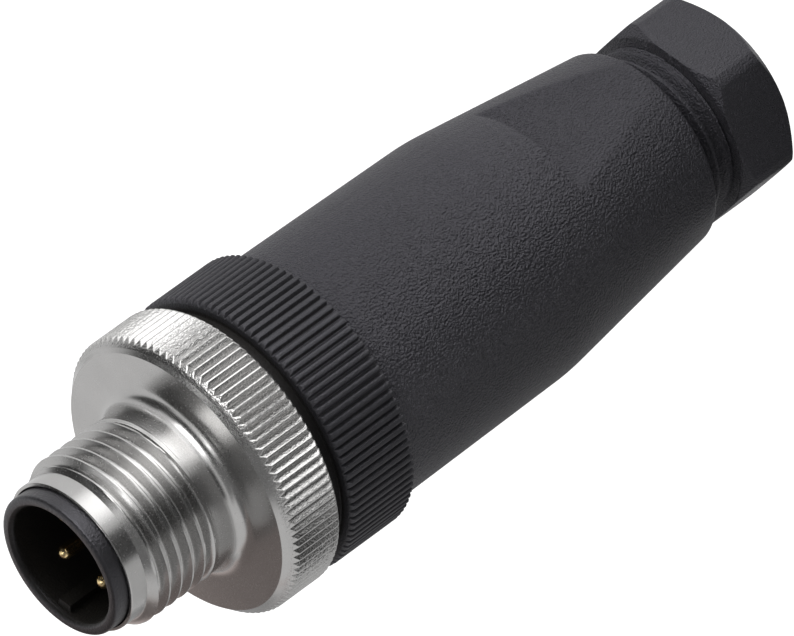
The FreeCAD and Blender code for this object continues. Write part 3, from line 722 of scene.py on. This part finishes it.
def make_camera():
    """The camera that fits the object's round edges in the image. AXIS and NEAR_SIDE are given in
    its own axes, which run right, down and forward."""
    third = AXIS.cross(NEAR_SIDE)
    down_axis = Vector((0, 0, -1))
    near = Vector((math.cos(NEAR_ANGLE), math.sin(NEAR_ANGLE), 0))
    beside = Vector((math.cos(NEAR_ANGLE - math.pi / 2), math.sin(NEAR_ANGLE - math.pi / 2), 0))

    def turn(v):
        return down_axis * v.dot(AXIS) + near * v.dot(NEAR_SIDE) + beside * v.dot(third)

    face = Vector(((FACE_PIXEL[0] - IMAGE_WIDTH / 2) / FOCAL_PIXELS * DEPTH,
                   (FACE_PIXEL[1] - IMAGE_HEIGHT / 2) / FOCAL_PIXELS * DEPTH, DEPTH))
    place = Vector((0, 0, MATING)) - turn(face)
    right = turn(Vector((1, 0, 0)))
    up = -turn(Vector((0, 1, 0)))
    back = -turn(Vector((0, 0, 1)))
    data = bpy.data.cameras.new("camera")
    data.sensor_fit = "HORIZONTAL"
    data.sensor_width = 36.0
    data.lens = FOCAL_PIXELS / IMAGE_WIDTH * 36.0
    data.clip_start = 0.01
    data.clip_end = 20.0
    camera = bpy.data.objects.new("camera", data)
    matrix = Matrix((right, up, back)).transposed().to_4x4()
    matrix.translation = place * MM
    camera.matrix_world = matrix
    bpy.context.scene.collection.objects.link(camera)
    bpy.context.scene.camera = camera
    return right, up, back


right, up, back = make_camera()


def background_rays(tree, mirrored):
    """1 for the rays that show the background, a given level for those that show it in a polished surface
    or through a clear one, and 0 for the rays that light the object"""
    path = tree.nodes.new("ShaderNodeLightPath")
    indirect = maths(tree, "MAXIMUM", path.outputs["Is Glossy Ray"], path.outputs["Is Transmission Ray"])
    return maths(tree, "MAXIMUM", path.outputs["Is Camera Ray"], maths(tree, "MULTIPLY", indirect, mirrored))


def make_floor():
    mesh = bpy.data.meshes.new("floor")
    reach = 3.0
    mesh.from_pydata([(-reach, -reach, 0), (reach, -reach, 0), (reach, reach, 0), (-reach, reach, 0)], [],
                     [(0, 1, 2, 3)])
    floor = bpy.data.objects.new("floor", mesh)
    # low enough for the pressing screw and the sleeve when both are unscrewed
    floor.location.z = FLOOR_LEVEL * MM
    bpy.context.scene.collection.objects.link(floor)
    material = bpy.data.materials.new("floor_white")
    material.use_nodes = True
    tree = material.node_tree
    shader = tree.nodes["Principled BSDF"]
    shader.inputs["Base Color"].default_value = (0.86, 0.86, 0.86, 1)
    shader.inputs["Roughness"].default_value = 0.9
    shader.inputs["Specular IOR Level"].default_value = 0.0
    glow = tree.nodes.new("ShaderNodeEmission")
    tree.links.new(maths(tree, "MULTIPLY", background_rays(tree, 0.4), 0.62), glow.inputs["Strength"])
    both = tree.nodes.new("ShaderNodeAddShader")
    tree.links.new(shader.outputs["BSDF"], both.inputs[0])
    tree.links.new(glow.outputs["Emission"], both.inputs[1])
    tree.links.new(both.outputs["Shader"], tree.nodes["Material Output"].inputs["Surface"])
    mesh.materials.append(material)


def area_light(name, direction, distance, size, power):
    """A soft light that looks at the middle of the connector from a direction in the image's own axes"""
    target = Vector((0, 0, 0.034))
    way = right * direction[0] + up * direction[1] + back * direction[2]
    way.normalize()
    data = bpy.data.lights.new(name, "AREA")
    data.shape = "SQUARE"
    data.size = size
    data.energy = power
    light = bpy.data.objects.new(name, data)
    across = up.cross(way).normalized()
    matrix = Matrix((across, way.cross(across), way)).transposed().to_4x4()
    matrix.translation = target + way * distance
    light.matrix_world = matrix
    light.visible_glossy = False
    bpy.context.scene.collection.objects.link(light)


def glow_material(name, level, soft, tint):
    """Light of a level that fades to white towards the edges of a card"""
    material = bpy.data.materials.new(name)
    material.use_nodes = True
    tree = material.node_tree
    tree.nodes.remove(tree.nodes["Principled BSDF"])
    coords = tree.nodes.new("ShaderNodeTexCoord")
    split = tree.nodes.new("ShaderNodeSeparateXYZ")
    tree.links.new(coords.outputs["Generated"], split.inputs["Vector"])
    inside = []
    for axis in ("X", "Y"):
        near = maths(tree, "MINIMUM", split.outputs[axis], maths(tree, "SUBTRACT", 1.0, split.outputs[axis]))
        inside.append(ramp(tree, near, 0.0, soft, 0.0, 1.0))
    shape = maths(tree, "MULTIPLY", inside[0], inside[1])
    glow = tree.nodes.new("ShaderNodeEmission")
    glow.inputs["Color"].default_value = (*tint, 1)
    tree.links.new(ramp(tree, shape, 0.0, 1.0, 1.0, level), glow.inputs["Strength"])
    tree.links.new(glow.outputs["Emission"], tree.nodes["Material Output"].inputs["Surface"])
    return material


def sheet(name, corner, across, along, material):
    """A rectangle from a corner and two sides, in millimetres, that shows only in polished surfaces"""
    mesh = bpy.data.meshes.new(name)
    wide, tall = across.length * MM, along.length * MM
    mesh.from_pydata([(0, 0, 0), (wide, 0, 0), (wide, tall, 0), (0, tall, 0)], [], [(0, 1, 2, 3)])
    mesh.materials.append(material)
    thing = bpy.data.objects.new(name, mesh)
    x, y = across.normalized(), along.normalized()
    matrix = Matrix((x, y, x.cross(y))).transposed().to_4x4()
    matrix.translation = corner * MM
    thing.matrix_world = matrix
    bpy.context.scene.collection.objects.link(thing)
    thing.visible_camera = False
    thing.visible_diffuse = False
    thing.visible_shadow = False
    thing.visible_transmission = False


def facing(azimuth):
    """Level directions out and sideways. The azimuth starts at the side that faces the camera
    and runs towards the image's upper left."""
    a = NEAR_ANGLE + math.radians(azimuth)
    return Vector((math.cos(a), math.sin(a), 0)), Vector((-math.sin(a), math.cos(a), 0))


def card(name, azimuth, distance, sides, heights, level, soft, tint=(1, 1, 1)):
    """An upright card beside the connector"""
    out, side = facing(azimuth)
    corner = out * distance + side * sides[0] + Vector((0, 0, heights[0]))
    across = side * (sides[1] - sides[0])
    along = Vector((0, 0, heights[1] - heights[0]))
    sheet(name, corner, across, along, glow_material(name, level, soft, tint))


def level_card(name, azimuth, reach, sides, height, level, soft):
    """A level card over the mating face or just above the floor"""
    out, side = facing(azimuth)
    corner = out * reach[0] + side * sides[0] + Vector((0, 0, height))
    outward = out * (reach[1] - reach[0])
    sideways = side * (sides[1] - sides[0])
    sheet(name, corner, outward, sideways, glow_material(name, level, soft, (1, 1, 1)))


make_floor()
card("dark_front", -25, 35, (-17, 17), (1, 60), 0.07, 0.15)
card("dark_front_high", -28, 40, (-26, 18), (60, 150), 0.24, 0.15)
card("dark_above_near", 0, 60, (-55, 45), (90, 200), 0.04, 0.1)
card("dark_above_left", 62, 62, (-40, 40), (78, 190), 0.04, 0.1)
card("dark_above_far", 112, 60, (-35, 22), (64, 150), 0.05, 0.12)
card("dark_behind", 180, 25, (-3, 45), (52, 105), 0.24, 0.15, (1.0, 0.86, 0.82))
card("soft_box", 36, 30, (-16, 16), (2, 54), 4.0, 0.35)
card("soft_box_high", 29, 32, (-16, 15), (50, 84), 5.8, 0.2)
card("dark_above_box", 33, 31, (-30, 30), (69.5, 112), 0.04, 0.03)
card("sleeve_soft", 42, 17, (-5, 5), (-8, 39), 3.6, 0.4)
card("dark_right", -150, 35, (-18, 20), (1, 60), 0.4, 0.2)
card("sleeve_left", 130, 17, (-17, 17), (-8, 41), 0.6, 0.12)
card("sleeve_dark", -42, 17, (-13, 12), (-8, 39), 0.04, 0.15)
card("sleeve_right", -130, 17, (-15, 15), (-8, 41), 0.4, 0.12)
level_card("floor_dark", -45, (4, 17), (-14, 12), 0.05, 0.12, 0.12)
level_card("dark_top", 0, (-60, 60), (-70, 4), 125, 0.2, 0.08)
level_card("soft_top", 0, (-12, 32), (-28, 16), 126, 5.4, 0.2)
area_light("key", (-0.55, 0.80, 0.25), 0.45, 0.30, 2.4)
area_light("fill", (-0.9, -0.2, 0.5), 0.6, 0.35, 0.6)

world = bpy.data.worlds.new("studio")
bpy.context.scene.world = world
world.use_nodes = True
sky = world.node_tree.nodes["Background"]
sky.inputs["Color"].default_value = (1, 1, 1, 1)
level = ramp(world.node_tree, background_rays(world.node_tree, 1.0), 0.0, 1.0, 0.40, 1.0)
world.node_tree.links.new(level, sky.inputs["Strength"])

bpy.context.scene.view_settings.view_transform = "Standard"


bpy.context.view_layer.update()
